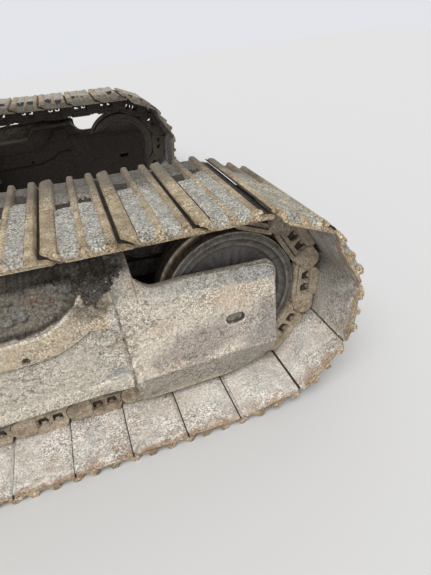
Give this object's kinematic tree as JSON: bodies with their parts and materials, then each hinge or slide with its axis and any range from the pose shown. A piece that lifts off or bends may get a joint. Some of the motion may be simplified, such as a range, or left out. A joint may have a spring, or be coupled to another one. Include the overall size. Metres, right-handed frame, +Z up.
{
  "type": "crawler undercarriage",
  "caption": "Excavator crawler undercarriage: triple-bar track shoes on link chains round idlers and sprockets, side frames, X-shaped centre frame and slewing ring, dried mud and rust.",
  "frame": {"origin": "on the ground at the middle of the undercarriage, under the slewing axis as seen from above", "axes": "+X forward to the idlers, +Y to the left, +Z up"},
  "size_m": [4.4689, 2.99, 0.98],
  "materials": {
    "shoe_steel": "worn steel under dried tan mud and rust",
    "chain_steel": "rusty brown forged steel packed with mud",
    "muddy_paint": "dark grey paint under dried beige mud",
    "frame_paint": "dark grey paint with dust and dried mud",
    "idler_iron": "dark worn iron with a polished rim and brown rust",
    "bare_steel": "ground steel",
    "greasy_iron": "greasy dark iron with packed dirt",
    "roller_iron": "rusty brown iron with polished treads",
    "sprocket_steel": "worn rusty steel",
    "drive_paint": "black paint with dust",
    "ring_steel": "machined steel, oily",
    "swivel_iron": "grey cast iron"
  },
  "bodies": {
    "undercarriage": {"right_track_shoes": "shoe_steel", "right_track_chain": "chain_steel", "right_side_frame": "muddy_paint", "right_idler_fork": "muddy_paint", "right_idler_axle": "bare_steel", "right_idler_blocks": "greasy_iron", "right_tension_yoke": "greasy_iron", "right_bottom_rollers": "roller_iron", "right_roller_shafts": "roller_iron", "right_carrier_rollers": "roller_iron", "right_carrier_brackets": "muddy_paint", "right_sprocket": "sprocket_steel", "right_final_drive": "drive_paint", "right_travel_motor": "drive_paint", "right_motor_guard": "muddy_paint", "right_track_guards": "muddy_paint", "left_track_shoes": "shoe_steel", "left_track_chain": "chain_steel", "left_side_frame": "muddy_paint", "left_idler_fork": "muddy_paint", "left_idler_axle": "bare_steel", "left_idler_blocks": "greasy_iron", "left_tension_yoke": "greasy_iron", "left_bottom_rollers": "roller_iron", "left_roller_shafts": "roller_iron", "left_carrier_rollers": "roller_iron", "left_carrier_brackets": "muddy_paint", "left_sprocket": "sprocket_steel", "left_final_drive": "drive_paint", "left_travel_motor": "drive_paint", "left_motor_guard": "muddy_paint", "left_track_guards": "muddy_paint", "right_front_leg": "frame_paint", "right_rear_leg": "frame_paint", "left_front_leg": "frame_paint", "left_rear_leg": "frame_paint", "carbody": "frame_paint", "slew_ring_inner": "ring_steel", "swivel_body": "swivel_iron"},
    "right_idler_wheel": {"right_idler": "idler_iron"},
    "left_idler_wheel": {"left_idler": "idler_iron"},
    "slewing_race": {"slew_ring_outer": "ring_steel"},
    "swivel_turning_part": {"swivel_rotor": "swivel_iron"}
  },
  "joints": [
    {"name": "slew", "type": "hinge", "parent": "undercarriage", "child": "slewing_race", "pos_m": [0, 0, 0.88], "axis": [0, 0, 1], "continuous": true},
    {"name": "swivel_turn", "type": "hinge", "parent": "undercarriage", "child": "swivel_turning_part", "pos_m": [0, 0, 0.65], "axis": [0, 0, 1], "continuous": true},
    {"name": "right_idler_roll", "type": "hinge", "parent": "undercarriage", "child": "right_idler_wheel", "pos_m": [1.8529, -1.195, 0.39016], "axis": [0, 1, 0], "continuous": true},
    {"name": "left_idler_roll", "type": "hinge", "parent": "undercarriage", "child": "left_idler_wheel", "pos_m": [1.8529, 1.195, 0.39016], "axis": [0, 1, 0], "continuous": true}
  ],
  "couplings": [
    {"joint": "swivel_turn", "follows": "slew", "ratio": 1}
  ]
}
